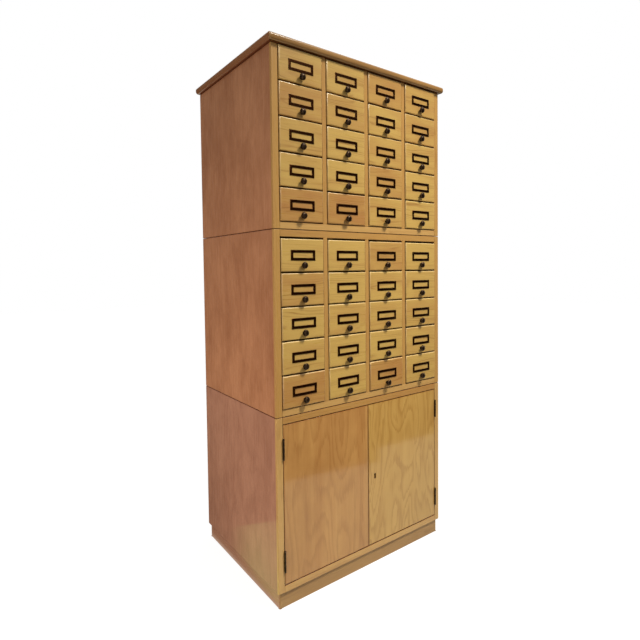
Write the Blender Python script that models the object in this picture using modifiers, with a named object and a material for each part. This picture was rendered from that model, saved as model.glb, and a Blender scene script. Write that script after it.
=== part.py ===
"""A card-index filing cabinet in pale lacquered wood.

Three units stand on a plinth: a cupboard with two doors, and two banks of small drawers under
a moulded top board. Each drawer is carried on hardwood strips that run in grooves in its sides,
so no rail shows between the fronts. Each door hangs on two butt hinges whose knuckles stand proud.

Metres, +Z up. The front faces -Y, and the origin is under the middle of the whole object.
"""

import math

import bmesh
import bpy
from mathutils import Matrix, Vector

# Carcass
WIDTH = 0.700
DEPTH = 0.505
PANEL = 0.021
BACK = 0.005
BACK_REBATE = 0.008
FIT = 0.0003
OVERRUN = 0.010

# Top board
TOP_THICKNESS = 0.022
TOP_OVERHANG = 0.015
TOP_ROUND = 0.009
TOP_UNDER_ROUND = 0.004
TOP_CORNER = 0.006

# Plinth
PLINTH_HEIGHT = 0.047
PLINTH_RECESS = 0.006
PLINTH_RAIL = 0.020
PLINTH_CORNER = 0.006

# Drawer banks
COLUMNS = 4
ROWS = 5
DIVIDER = 0.015
ROW_PITCH = 0.0992
ROW_GAP = 0.0022
HEAD_GAP = 0.004
COLUMN_GAP = 0.001

# Drawer
FRONT_THICKNESS = 0.018
FRONT_PROUD = 0.004
FRONT_ROUND = 0.003
DRAWER_WALL = 0.009
DRAWER_SIDE_HEIGHT = 0.072
DRAWER_BACK_DROP = 0.008
DRAWER_LIFT = 0.004
DRAWER_FLOOR = 0.004
DRAWER_END_GAP = 0.006

# Runner strips and the grooves that ride on them
RUNNER_HEIGHT = 0.010
RUNNER_LIFT = 0.036
GROOVE_DEPTH = 0.005
GROOVE_SLACK = 0.0006

# Label frame
LABEL_WIDTH = 0.086
LABEL_HEIGHT = 0.031
LABEL_BORDER = 0.008
LABEL_THICKNESS = 0.0016
LABEL_SLOPE = 0.0008

# Knob
KNOB_RADIUS = 0.0102
KNOB_REACH = 0.015
KNOB_STEM_RADIUS = 0.0036
KNOB_FOOT_RADIUS = 0.0058
KNOB_FOOT = 0.0012
KNOB_DROP = 0.0295
KNOB_SIDES = 8
# The head's outline: shares of the knob's radius, and of the reach behind the tip
KNOB_HEAD_SHARES = ((0.68, 0.09), (1.00, 0.34), (0.80, 0.58))
KNOB_NECK_SHARE = 0.74

# Doors
DOOR_HEIGHT = 0.474
DOOR_THICKNESS = 0.018
DOOR_GAP = 0.0015
MEETING_GAP = 0.002
DOOR_ARRIS = 0.0012
SHELF = 0.018
SHELF_HEIGHT_SHARE = 0.52
SHELF_SETBACK = 0.010

# Butt hinges
HINGE_HEIGHT = 0.063
HINGE_INSET = 0.071
LEAF = 0.0012
LEAF_WIDTH = 0.018
LEAF_GAP = 0.0004
BARREL_RADIUS = 0.0028
BARREL_STAND_OFF = 0.0004
BARREL_END_GAP = 0.0003
PIN_RADIUS = 0.0012
BORE_RADIUS = 0.0015
BARREL_SIDES = 12
KNUCKLES = 3

# Lock
LOCK_WIDTH = 0.042
LOCK_HEIGHT = 0.060
LOCK_DEPTH = 0.012
BOLT_LENGTH = 0.030
BOLT_HEIGHT = 0.016
BOLT_THICKNESS = 0.004
BOLT_THROW = 0.007
STRIKE_SLACK = 0.002
KEY_BACKSET = 0.028
KEY_DROP = 0.0075
KEYHOLE_HEIGHT = 0.015
KEYHOLE_RADIUS = 0.0027
KEYHOLE_SLOT = 0.0034
KEYHOLE_DEPTH = 0.0085
KEYHOLE_SIDES = 12

# How finely edges are rounded
CORNER_SEGMENTS = 3
ROUND_SEGMENTS = 2
SLOPE_SEGMENTS = 1
ROUND_PROFILE = 0.5
SMOOTH_ANGLE = math.radians(50)
QUARTER_TURN = math.radians(90)
MERGE_DISTANCE = 0.00003

# Sizes that follow
BAY_WIDTH = (WIDTH - 2 * PANEL - (COLUMNS - 1) * DIVIDER) / COLUMNS
COLUMN_PITCH = BAY_WIDTH + DIVIDER
FRONT_WIDTH = BAY_WIDTH - 2 * COLUMN_GAP
FRONT_HEIGHT = ROW_PITCH - ROW_GAP
BANK_HEIGHT = ROWS * ROW_PITCH
BASE_HEIGHT = DOOR_HEIGHT + 2 * DOOR_GAP + 2 * PANEL
MIDDLE_HEIGHT = BANK_HEIGHT + HEAD_GAP + 2 * PANEL
UPPER_HEIGHT = BANK_HEIGHT + PANEL
BASE_Z = PLINTH_HEIGHT
MIDDLE_Z = BASE_Z + BASE_HEIGHT
UPPER_Z = MIDDLE_Z + MIDDLE_HEIGHT
TOP_Z = UPPER_Z + UPPER_HEIGHT
FRONT_REACH = max(FRONT_PROUD + KNOB_REACH, TOP_OVERHANG)
FRONT_Y = (FRONT_REACH - DEPTH) / 2
INNER_HALF = WIDTH / 2 - PANEL
BACK_INNER_Y = DEPTH - BACK - FIT
FRONT_BACK_Y = FRONT_THICKNESS - FRONT_PROUD
DRAWER_END_Y = BACK_INNER_Y - DRAWER_END_GAP
RUNNER_Z = DRAWER_LIFT + RUNNER_LIFT
RUNNER_PROUD = COLUMN_GAP + GROOVE_DEPTH - FIT
AXIS_Y = -(BARREL_RADIUS + BARREL_STAND_OFF)
AXIS_X = INNER_HALF - DOOR_GAP / 2
DOOR_FOOT = PANEL + DOOR_GAP
DOOR_MIDDLE = DOOR_FOOT + DOOR_HEIGHT / 2
HINGE_HEIGHTS = {
    "upper": DOOR_FOOT + DOOR_HEIGHT - HINGE_INSET,
    "lower": DOOR_FOOT + HINGE_INSET,
}
KNUCKLE = HINGE_HEIGHT / KNUCKLES
STRIKE_DEPTH = BOLT_THROW - MEETING_GAP + STRIKE_SLACK

# Colours, as linear red, green and blue, with roughness and metallic
FINISHES = {
    "lacquered beech edge": ((0.50, 0.29, 0.10), 0.32, 0.0),
    "lacquered birch ply side": ((0.40, 0.20, 0.085), 0.30, 0.0),
    "lacquered birch ply door": ((0.45, 0.23, 0.065), 0.28, 0.0),
    "beech drawer": ((0.52, 0.33, 0.11), 0.34, 0.0),
    "beech carcass": ((0.48, 0.29, 0.11), 0.40, 0.0),
    "birch plywood back": ((0.42, 0.27, 0.13), 0.60, 0.0),
    "blackened brass": ((0.022, 0.014, 0.009), 0.38, 1.0),
    "steel lock": ((0.30, 0.27, 0.22), 0.45, 1.0),
}


def clear_scene():
    for old in list(bpy.data.objects):
        bpy.data.objects.remove(old, do_unlink=True)


def new_collection(name):
    group = bpy.data.collections.new(name)
    bpy.context.scene.collection.children.link(group)
    return group


def new_material(name):
    colour, roughness, metallic = FINISHES[name]
    material = bpy.data.materials.new(name)
    material.use_nodes = True
    shader = material.node_tree.nodes["Principled BSDF"]
    shader.inputs["Base Color"].default_value = (*colour, 1)
    shader.inputs["Roughness"].default_value = roughness
    shader.inputs["Metallic"].default_value = metallic
    material.diffuse_color = (*colour, 1)
    return material


def new_empty(name, place, parent=None):
    empty = bpy.data.objects.new(name, None)
    empty.location = place
    empty.parent = parent
    PARTS.objects.link(empty)
    return empty


def add_object(name, shape, place, parent, finish=None):
    """Makes an object of a bmesh. One with no finish is a helper that cuts or joins a piece."""
    mesh = bpy.data.meshes.new(name)
    shape.to_mesh(mesh)
    shape.free()
    piece = bpy.data.objects.new(name, mesh)
    piece.location = place
    piece.parent = parent
    if finish:
        mesh.materials.append(MATERIALS[finish])
        PARTS.objects.link(piece)
    else:
        HELPERS.objects.link(piece)
        piece.hide_render = True
        piece.display_type = "WIRE"
    return piece


def add_cube(shape, low, high):
    """Adds a block between two corners to a bmesh and returns its vertices."""
    low, high = Vector(low), Vector(high)
    vertices = bmesh.ops.create_cube(shape, size=1)["verts"]
    bmesh.ops.scale(shape, vec=high - low, verts=vertices)
    bmesh.ops.translate(shape, vec=(low + high) / 2, verts=vertices)
    return vertices


def block(name, low, high, parent, finish=None):
    """A board or a cutter between two corners, with its origin in its middle."""
    middle = (Vector(low) + Vector(high)) / 2
    shape = bmesh.new()
    add_cube(shape, Vector(low) - middle, Vector(high) - middle)
    return add_object(name, shape, middle, parent, finish)


def blocks(name, corners, parent):
    """One helper that holds several separate blocks."""
    shape = bmesh.new()
    for low, high in corners:
        add_cube(shape, low, high)
    return add_object(name, shape, Vector(), parent)


def rod(name, radius, low, high, sides, parent, finish=None):
    """A cylinder between two heights, whose origin is on its axis."""
    shape = bmesh.new()
    made = bmesh.ops.create_cone(
        shape,
        cap_ends=True,
        segments=sides,
        radius1=radius,
        radius2=radius,
        depth=high - low,
    )
    bmesh.ops.translate(shape, vec=(0, 0, (low + high) / 2), verts=made["verts"])
    for face in shape.faces:
        face.smooth = len(face.verts) < sides
    return add_object(name, shape, Vector(), parent, finish)


def combine(piece, other, operation):
    modifier = piece.modifiers.new(operation.title() + " " + other.name, "BOOLEAN")
    modifier.operation = operation
    modifier.object = other
    modifier.solver = "EXACT"
    modifier.material_mode = "TRANSFER"


def cut(piece, *others):
    for other in others:
        combine(piece, other, "DIFFERENCE")


def join(piece, *others):
    for other in others:
        combine(piece, other, "UNION")


def round_edges(piece, chosen, width, segments):
    """Rounds the edges of a block that a test on their two ends picks out."""
    shape = bmesh.new()
    shape.from_mesh(piece.data)
    edges = [edge for edge in shape.edges if chosen(*(vertex.co for vertex in edge.verts))]
    made = bmesh.ops.bevel(
        shape,
        geom=edges,
        offset=width,
        segments=segments,
        profile=ROUND_PROFILE,
        affect="EDGES",
        clamp_overlap=True,
    )
    for face in made["faces"]:
        face.smooth = segments > SLOPE_SEGMENTS
    shape.to_mesh(piece.data)
    shape.free()


def both_at(first, second, axis, sign):
    """Whether two points lie on the same outer side of a block centred on its origin."""
    return first[axis] * sign > 0 and second[axis] * sign > 0


def evaluated_mesh(piece):
    bpy.context.view_layer.update()
    graph = bpy.context.evaluated_depsgraph_get()
    return bpy.data.meshes.new_from_object(piece.evaluated_get(graph))


def bay_middle(column):
    """The x of a column's middle, with column 1 at the viewer's left."""
    return (column - (COLUMNS + 1) / 2) * COLUMN_PITCH


def row_foot(row):
    """The height of a row's lowest edge over its unit's foot, with row 1 at the top."""
    return PANEL + ROW_GAP / 2 + (ROWS - row) * ROW_PITCH


def make_top_board(cabinet):
    """The overhanging board: rounded over on its front and ends, square at the wall."""
    half = WIDTH / 2 + TOP_OVERHANG
    board = block(
        "top_board",
        (-half, -TOP_OVERHANG, TOP_Z + FIT),
        (half, DEPTH, TOP_Z + TOP_THICKNESS),
        cabinet,
        "lacquered beech edge",
    )
    round_edges(
        board,
        lambda a, b: both_at(a, b, 1, -1) and abs(a.z - b.z) > 0 and a.x == b.x,
        TOP_CORNER,
        CORNER_SEGMENTS,
    )
    rear = max(vertex.co.y for vertex in board.data.vertices)
    rounds = ((1, TOP_ROUND, CORNER_SEGMENTS), (-1, TOP_UNDER_ROUND, ROUND_SEGMENTS))
    for sign, width, segments in rounds:
        round_edges(
            board,
            lambda a, b, sign=sign: a.z == b.z and a.z * sign > 0 and (a.y < rear or b.y < rear),
            width,
            segments,
        )


def make_plinth(cabinet):
    """A frame of four rails, set in from the carcass all round, open above and below."""
    half = WIDTH / 2 - PLINTH_RECESS
    front, rear = PLINTH_RECESS, DEPTH - PLINTH_RECESS
    plinth = block(
        "plinth",
        (-half, front, 0),
        (half, rear, PLINTH_HEIGHT - FIT),
        cabinet,
        "lacquered beech edge",
    )
    round_edges(
        plinth,
        lambda a, b: a.x == b.x and a.y == b.y,
        PLINTH_CORNER,
        CORNER_SEGMENTS,
    )
    hollow = block(
        "plinth_hollow",
        (PLINTH_RAIL - half, front + PLINTH_RAIL, -OVERRUN),
        (half - PLINTH_RAIL, rear - PLINTH_RAIL, PLINTH_HEIGHT + OVERRUN),
        cabinet,
    )
    cut(plinth, hollow)


def back_rebate(name, height, unit):
    """What the back panel's seat takes out of the rear edges of a unit."""
    half = INNER_HALF + BACK_REBATE
    return block(
        name,
        (-half, BACK_INNER_Y, -OVERRUN),
        (half, DEPTH + OVERRUN, height + OVERRUN),
        unit,
    )


def make_back(name, height, unit):
    half = INNER_HALF + BACK_REBATE - FIT
    block(
        name,
        (-half, DEPTH - BACK, FIT),
        (half, DEPTH, height),
        unit,
        "birch plywood back",
    )


def runner_corners(low_x, high_x):
    """The strips of all rows, between two x values."""
    found = []
    for row in range(1, ROWS + 1):
        foot = row_foot(row) + RUNNER_Z
        low = (low_x, FRONT_BACK_Y + FIT, foot)
        high = (high_x, BACK_INNER_Y - FIT, foot + RUNNER_HEIGHT)
        found.append((low, high))
    return found


def make_bank_side(name, hand, height, unit):
    """A side panel of a drawer bank, with its own runner strips on its inner face."""
    outer, inner = hand * WIDTH / 2, hand * INNER_HALF
    side = block(
        name,
        (min(outer, inner), 0, FIT),
        (max(outer, inner), DEPTH, height),
        unit,
        "lacquered birch ply side",
    )
    cut(side, back_rebate(name + "_rebate", height, unit))
    tip = inner - hand * RUNNER_PROUD
    root = inner + hand * PANEL / 2
    join(side, blocks(name + "_runners", runner_corners(min(tip, root), max(tip, root)), unit))


def make_rack(name, height, has_top, unit):
    """The boards between two sides: bottom, dividers and, on a unit that carries one, a top."""
    half = INNER_HALF - FIT
    rack = block(
        name,
        (-half, 0, FIT),
        (half, BACK_INNER_Y - FIT, height),
        unit,
        "beech carcass",
    )
    bay_top = height - PANEL if has_top else height + OVERRUN
    edge = BAY_WIDTH / 2
    bays = []
    runners = []
    for column in range(1, COLUMNS + 1):
        middle = bay_middle(column)
        low_x = -half - OVERRUN if column == 1 else middle - edge
        high_x = half + OVERRUN if column == COLUMNS else middle + edge
        bays.append(((low_x, -OVERRUN, PANEL), (high_x, DEPTH, bay_top)))
        if column < COLUMNS:
            reach = RUNNER_PROUD
            runners += runner_corners(middle + edge - reach, middle + edge + DIVIDER + reach)
    cut(rack, blocks(name + "_bays", bays, unit))
    join(rack, blocks(name + "_runners", runners, unit))


def make_front():
    """A drawer front with its four face edges rounded over."""
    front = block(
        "drawer_front",
        (-FRONT_WIDTH / 2, -FRONT_PROUD, 0),
        (FRONT_WIDTH / 2, FRONT_BACK_Y, FRONT_HEIGHT),
        None,
        "beech drawer",
    )
    round_edges(front, lambda a, b: both_at(a, b, 1, -1), FRONT_ROUND, ROUND_SEGMENTS)
    return front


def make_tub():
    """The box behind a drawer front: grooved sides, a lower back and a thin floor let in from below."""
    half = FRONT_WIDTH / 2
    foot, rim = DRAWER_LIFT, DRAWER_LIFT + DRAWER_SIDE_HEIGHT
    inner = half - DRAWER_WALL
    rear = DRAWER_END_Y - DRAWER_WALL
    tub = block("drawer_tub", (-half, 0, foot), (half, DRAWER_END_Y, rim), None)
    groove_foot = RUNNER_Z - GROOVE_SLACK
    groove_head = RUNNER_Z + RUNNER_HEIGHT + FIT
    end = DRAWER_END_Y + OVERRUN
    hollows = [
        ((-inner, FRONT_BACK_Y, foot + DRAWER_FLOOR), (inner, rear, rim + OVERRUN)),
    ]
    for hand in (-1, 1):
        deep, wide = hand * (half - GROOVE_DEPTH), hand * (half + OVERRUN)
        low = (min(deep, wide), FRONT_BACK_Y, groove_foot)
        hollows.append((low, (max(deep, wide), end, groove_head)))
    cut(tub, blocks("drawer_hollows", hollows, None))
    lowered = block(
        "drawer_back_drop",
        (-inner, rear - DRAWER_WALL, rim - DRAWER_BACK_DROP),
        (inner, end, rim + OVERRUN),
        None,
    )
    cut(tub, lowered)
    return tub


def make_label_frame():
    """An open frame with sloping outer edges, sunk a little into the front."""
    middle = FRONT_HEIGHT / 2
    half_width, half_height = LABEL_WIDTH / 2, LABEL_HEIGHT / 2
    face = -FRONT_PROUD
    frame = block(
        "label_frame",
        (-half_width, face - LABEL_THICKNESS, middle - half_height),
        (half_width, face + LABEL_THICKNESS, middle + half_height),
        None,
    )
    frame.data.materials.append(MATERIALS["blackened brass"])
    round_edges(frame, lambda a, b: both_at(a, b, 1, -1), LABEL_SLOPE, SLOPE_SEGMENTS)
    return frame


def make_label_window():
    """What shows the wood inside the label frame."""
    middle = FRONT_HEIGHT / 2
    half_width = LABEL_WIDTH / 2 - LABEL_BORDER
    half_height = LABEL_HEIGHT / 2 - LABEL_BORDER
    return block(
        "label_window",
        (-half_width, -FRONT_PROUD - OVERRUN, middle - half_height),
        (half_width, -FRONT_PROUD, middle + half_height),
        None,
    )


def make_knob():
    """A turned knob: a foot, a waisted stem and a domed head, whose axis points out of the front."""
    head = KNOB_REACH - KNOB_FOOT
    profile = (
        (0, KNOB_REACH),
        *((KNOB_RADIUS * out, KNOB_REACH - head * back) for out, back in KNOB_HEAD_SHARES),
        (KNOB_STEM_RADIUS, KNOB_REACH - head * KNOB_NECK_SHARE),
        (KNOB_STEM_RADIUS, KNOB_FOOT),
        (KNOB_FOOT_RADIUS, KNOB_FOOT),
        (KNOB_FOOT_RADIUS, -KNOB_FOOT),
        (0, -KNOB_FOOT),
    )
    shape = bmesh.new()
    points = [shape.verts.new((radius, 0, height)) for radius, height in profile]
    for first, second in zip(points, points[1:]):
        shape.edges.new((first, second))
    place = Vector((0, -FRONT_PROUD, FRONT_HEIGHT / 2 - KNOB_DROP))
    knob = add_object("knob", shape, place, None)
    knob.data.materials.append(MATERIALS["blackened brass"])
    knob.rotation_euler = (QUARTER_TURN, 0, 0)
    turn = knob.modifiers.new("Turn", "SCREW")
    turn.axis = "Z"
    turn.steps = KNOB_SIDES
    turn.render_steps = KNOB_SIDES
    turn.use_merge_vertices = True
    turn.merge_threshold = MERGE_DISTANCE
    return knob


def make_drawer_mesh():
    """One drawer in its own frame: y is 0 at the carcass front, z is 0 at the front's lower edge."""
    drawer = make_front()
    join(drawer, make_tub(), make_label_frame())
    cut(drawer, make_label_window())
    join(drawer, make_knob())
    mesh = evaluated_mesh(drawer)
    mesh.name = "drawer"
    mesh.transform(drawer.matrix_world)
    bpy.data.objects.remove(drawer, do_unlink=True)
    mesh.set_sharp_from_angle(angle=SMOOTH_ANGLE)
    return mesh


def make_drawers(bank, unit, mesh):
    """The drawers of one bank. Each one's origin is on the line that it slides along."""
    for row in range(1, ROWS + 1):
        for column in range(1, COLUMNS + 1):
            drawer = bpy.data.objects.new(f"{bank}_drawer_r{row}_c{column}", mesh)
            drawer.location = (bay_middle(column), 0, row_foot(row))
            drawer.parent = unit
            PARTS.objects.link(drawer)


def make_bank(name, height, has_top, place, cabinet, mesh):
    unit = new_empty(name + "_unit", place, cabinet)
    make_bank_side(name + "_side_left", -1, height, unit)
    make_bank_side(name + "_side_right", 1, height, unit)
    make_rack(name + "_rack", height, has_top, unit)
    make_back(name + "_back", height, unit)
    make_drawers(name, unit, mesh)


def make_base_carcass(unit):
    """The cupboard's glued boards: two sides, a top, a bottom and a housed shelf behind the doors."""
    carcass = block(
        "base_carcass",
        (-WIDTH / 2, 0, FIT),
        (WIDTH / 2, DEPTH, BASE_HEIGHT),
        unit,
        "lacquered birch ply side",
    )
    shelf_foot = PANEL + (BASE_HEIGHT - 2 * PANEL) * SHELF_HEIGHT_SHARE
    shelf_front = DOOR_THICKNESS + SHELF_SETBACK
    head = BASE_HEIGHT - PANEL
    door_room = block(
        "door_room",
        (-INNER_HALF, -OVERRUN, PANEL),
        (INNER_HALF, shelf_front, head),
        unit,
    )
    compartments = blocks(
        "compartments",
        [
            ((-INNER_HALF, -OVERRUN, PANEL), (INNER_HALF, DEPTH, shelf_foot)),
            ((-INNER_HALF, -OVERRUN, shelf_foot + SHELF), (INNER_HALF, DEPTH, head)),
        ],
        unit,
    )
    rebate = back_rebate("base_rebate", BASE_HEIGHT, unit)
    cut(carcass, door_room, compartments, rebate, make_leaf_seats(unit))


def make_leaf_seats(unit):
    """The shallow recesses in the sides that the hinges' fixed leaves are let into."""
    corners = []
    seat = LEAF_GAP / 2 + LEAF + FIT
    for hand in (-1, 1):
        for height in HINGE_HEIGHTS.values():
            bottom = hand * (AXIS_X + seat)
            mouth = hand * (INNER_HALF - OVERRUN)
            half = HINGE_HEIGHT / 2 + FIT
            low = (min(bottom, mouth), -OVERRUN, height - half)
            high = (max(bottom, mouth), AXIS_Y + LEAF_WIDTH + FIT, height + half)
            corners.append((low, high))
    return blocks("leaf_seats", corners, unit)


def leaf_blocks(hand):
    """A leaf's plate, and the notch that clears the other leaf's middle knuckle."""
    near, far = hand * LEAF_GAP / 2, hand * (LEAF_GAP / 2 + LEAF)
    half = HINGE_HEIGHT / 2
    plate = ((min(near, far), 0, -half), (max(near, far), LEAF_WIDTH, half))
    reach = BARREL_RADIUS + BARREL_STAND_OFF
    middle = KNUCKLE / 2 + BARREL_END_GAP
    notch = ((-reach, -reach, -middle), (reach, reach, middle))
    return plate, notch


def make_fixed_leaf(name, axis, hand):
    """The leaf on the carcass, with the two outer knuckles and the pin through all three."""
    plate, notch = leaf_blocks(hand)
    half = HINGE_HEIGHT / 2
    leaf = rod(name, BARREL_RADIUS, -half, half, BARREL_SIDES, axis, "blackened brass")
    join(leaf, blocks(name + "_plate", [plate], axis))
    cut(leaf, blocks(name + "_notch", [notch], axis))
    pin_end = half - LEAF
    join(leaf, rod(name + "_pin", PIN_RADIUS, -pin_end, pin_end, BARREL_SIDES, axis))


def make_moving_leaf(door, name, axis, hand):
    """The leaf let into the door's edge: its middle knuckle turns on the pin."""
    plate, notch = leaf_blocks(hand)
    low, high = plate
    reach = BARREL_RADIUS + BARREL_STAND_OFF
    middle = KNUCKLE / 2 - BARREL_END_GAP
    plate = ((low[0], reach, low[2]), high)
    neck = ((low[0], 0, -middle), (high[0], high[1], middle))
    knuckle = rod(name + "_knuckle", BARREL_RADIUS, -middle, middle, BARREL_SIDES, axis)
    bore_end = HINGE_HEIGHT / 2
    bore = rod(name + "_bore", BORE_RADIUS, -bore_end, bore_end, BARREL_SIDES, axis)
    for part in (blocks(name + "_plate", [plate], axis), blocks(name + "_neck", [neck], axis)):
        part.data.materials.append(MATERIALS["blackened brass"])
        join(door, part)
    knuckle.data.materials.append(MATERIALS["blackened brass"])
    join(door, knuckle)
    cut(door, bore)


def make_door(side, hand, unit):
    """A flush door whose origin is on its hinge axis. Hand is -1 at the viewer's left."""
    name = "door_" + side
    hinge_line = new_empty(name + "_axis", (hand * AXIS_X, AXIS_Y, 0), unit)
    outer = -hand * DOOR_GAP / 2
    inner = -hand * (AXIS_X - MEETING_GAP / 2)
    low = (min(outer, inner), -AXIS_Y, DOOR_FOOT)
    high = (max(outer, inner), DOOR_THICKNESS - AXIS_Y, DOOR_FOOT + DOOR_HEIGHT)
    shape = bmesh.new()
    add_cube(shape, low, high)
    front = [edge for edge in shape.edges if all(v.co.y < -AXIS_Y + FIT for v in edge.verts)]
    bmesh.ops.bevel(
        shape,
        geom=front,
        offset=DOOR_ARRIS,
        segments=SLOPE_SEGMENTS,
        profile=ROUND_PROFILE,
        affect="EDGES",
    )
    door = add_object(name, shape, Vector(), hinge_line, "lacquered birch ply door")
    for place, height in HINGE_HEIGHTS.items():
        axis = new_empty(f"{name}_{place}_hinge", (hand * AXIS_X, AXIS_Y, height), unit)
        make_moving_leaf(door, f"{name}_{place}_leaf", axis, -hand)
        make_fixed_leaf(f"hinge_{side}_{place}", axis, hand)
    return door


def make_keyhole(unit):
    """A round hole over a slot, cut through the door's face and on into the lock."""
    across = MEETING_GAP / 2 + KEY_BACKSET
    height = DOOR_MIDDLE - KEY_DROP
    slot_foot = height - KEYHOLE_HEIGHT / 2
    round_middle = height + KEYHOLE_HEIGHT / 2 - KEYHOLE_RADIUS
    slot = block(
        "keyhole",
        (across - KEYHOLE_SLOT / 2, -OVERRUN, slot_foot),
        (across + KEYHOLE_SLOT / 2, KEYHOLE_DEPTH, round_middle),
        unit,
    )
    hole = rod("keyhole_round", KEYHOLE_RADIUS, -OVERRUN, KEYHOLE_DEPTH, KEYHOLE_SIDES, unit)
    hole.data.transform(Matrix.Rotation(-QUARTER_TURN, 4, "X"))
    hole.location = (across, 0, round_middle)
    join(slot, hole)
    return slot


def make_lock(door, other_door, unit):
    """A cut-in cupboard lock in the right door's back, with its bolt withdrawn."""
    edge = MEETING_GAP / 2
    half = LOCK_HEIGHT / 2
    rear = DOOR_THICKNESS
    face = rear - LOCK_DEPTH
    case = block(
        "lock_case",
        (edge, face + FIT, DOOR_MIDDLE - half),
        (edge + LOCK_WIDTH, rear, DOOR_MIDDLE + half),
        unit,
        "steel lock",
    )
    seat = block(
        "lock_seat",
        (edge - OVERRUN, face, DOOR_MIDDLE - half - FIT),
        (edge + LOCK_WIDTH + FIT, rear + OVERRUN, DOOR_MIDDLE + half + FIT),
        unit,
    )
    bolt_half, bolt_y = BOLT_HEIGHT / 2, (face + rear) / 2
    low_y, high_y = bolt_y - BOLT_THICKNESS / 2, bolt_y + BOLT_THICKNESS / 2
    bolt = block(
        "lock_bolt",
        (edge, low_y, DOOR_MIDDLE - bolt_half),
        (edge + BOLT_LENGTH, high_y, DOOR_MIDDLE + bolt_half),
        unit,
        "steel lock",
    )
    channel = block(
        "bolt_channel",
        (edge - OVERRUN, low_y - FIT, DOOR_MIDDLE - bolt_half - FIT),
        (edge + BOLT_LENGTH + FIT, high_y + FIT, DOOR_MIDDLE + bolt_half + FIT),
        unit,
    )
    strike = block(
        "bolt_strike",
        (-edge - STRIKE_DEPTH, low_y - FIT, DOOR_MIDDLE - bolt_half - FIT),
        (-edge + OVERRUN, high_y + FIT, DOOR_MIDDLE + bolt_half + FIT),
        unit,
    )
    round_edges(bolt, lambda a, b: both_at(a, b, 0, -1) and a.z == b.z, FIT, SLOPE_SEGMENTS)
    keyhole = make_keyhole(unit)
    cut(case, channel, keyhole)
    cut(door, seat, keyhole)
    cut(other_door, strike)


def make_base(cabinet):
    unit = new_empty("base_unit", (0, 0, BASE_Z), cabinet)
    make_base_carcass(unit)
    make_back("base_back", BASE_HEIGHT, unit)
    left = make_door("left", -1, unit)
    right = make_door("right", 1, unit)
    make_lock(right, left, unit)


clear_scene()
PARTS = new_collection("card_index_cabinet")
HELPERS = new_collection("cutters_and_joined_shapes")
MATERIALS = {name: new_material(name) for name in FINISHES}
CABINET = new_empty("cabinet", (0, FRONT_Y, 0))
DRAWER_MESH = make_drawer_mesh()
make_plinth(CABINET)
make_base(CABINET)
make_bank("middle", MIDDLE_HEIGHT, True, (0, 0, MIDDLE_Z), CABINET, DRAWER_MESH)
make_bank("upper", UPPER_HEIGHT, False, (0, 0, UPPER_Z), CABINET, DRAWER_MESH)
make_top_board(CABINET)
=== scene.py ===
"""A card-index cabinet: two banks of drawers over a cupboard, in yellowed beech and birch ply."""

import math
import random
from itertools import product

import bmesh
import bpy
import numpy as np
from mathutils import Matrix, Vector


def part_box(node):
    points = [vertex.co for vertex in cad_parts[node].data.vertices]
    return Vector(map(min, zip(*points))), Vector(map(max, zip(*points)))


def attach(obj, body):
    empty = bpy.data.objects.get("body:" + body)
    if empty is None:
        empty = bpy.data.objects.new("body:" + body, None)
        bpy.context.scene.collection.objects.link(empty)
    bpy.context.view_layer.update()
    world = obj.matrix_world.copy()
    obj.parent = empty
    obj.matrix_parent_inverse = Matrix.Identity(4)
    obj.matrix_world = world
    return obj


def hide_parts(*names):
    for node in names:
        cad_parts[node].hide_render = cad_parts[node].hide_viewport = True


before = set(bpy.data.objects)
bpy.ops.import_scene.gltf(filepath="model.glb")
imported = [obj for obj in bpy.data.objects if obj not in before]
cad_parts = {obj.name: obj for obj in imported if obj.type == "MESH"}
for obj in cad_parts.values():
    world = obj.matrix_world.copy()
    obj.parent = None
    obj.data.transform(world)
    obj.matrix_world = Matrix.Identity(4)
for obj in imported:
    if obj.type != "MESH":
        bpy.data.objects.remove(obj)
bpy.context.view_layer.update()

# Carcass, in metres
HALF_WIDTH = 0.350
PANEL = 0.021
INNER_HALF = HALF_WIDTH - PANEL
FRONT, REAR = (corner.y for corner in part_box("base_carcass"))
BACK = 0.005
BACK_REBATE = 0.008
FIT = 0.0003
BACK_FACE = REAR - BACK - FIT
LIPPING = 0.008
ARRIS = 0.0005
UNIT_ARRIS = 0.0013
RAIL_ARRIS = 0.0010
THIN_ARRIS = 0.0003
UNIT_PLAY = 0.0004
RAIL_PLAY = 0.0007
PIN_INSET = 0.006
COLUMNS, ROWS = 4, 5
DIVIDER = 0.015
BAY_WIDTH = (2 * INNER_HALF - (COLUMNS - 1) * DIVIDER) / COLUMNS
COLUMN_PITCH = BAY_WIDTH + DIVIDER
ROW_PITCH = 0.0992
ROW_GAP = 0.0022
RUNNER_Z = 0.040
RUNNER_HEIGHT = 0.010
RUNNER_PROUD = 0.0057
SHELF = 0.018
SHELF_SHARE = 0.52
SHELF_SETBACK = 0.010

# Top board and plinth
TOP_ROUND = 0.009
TOP_CORNER = 0.006
TOP_LIPPING = 0.045
PLINTH_RAIL = 0.020
PLINTH_CORNER = 0.006

# Drawer, in its own place: y is 0 at the carcass front, z is 0 at the front's lower edge
FRONT_WIDTH = BAY_WIDTH - 0.002
FRONT_HEIGHT = ROW_PITCH - ROW_GAP
FRONT_PROUD = 0.004
FRONT_BACK = 0.014
FRONT_ROUND = 0.0037
FRONT_PLAY = Vector((0.0006, 0, 0.0010))
DRAWER_FOOT = 0.004
DRAWER_SIDE_HEIGHT = 0.072
DRAWER_WALL = 0.009
DRAWER_END = 0.4937
DRAWER_FLOOR = 0.004
BACK_DROP = 0.008
GROOVE_DEPTH = 0.005
GROOVE_SLACK = 0.0006
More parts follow.
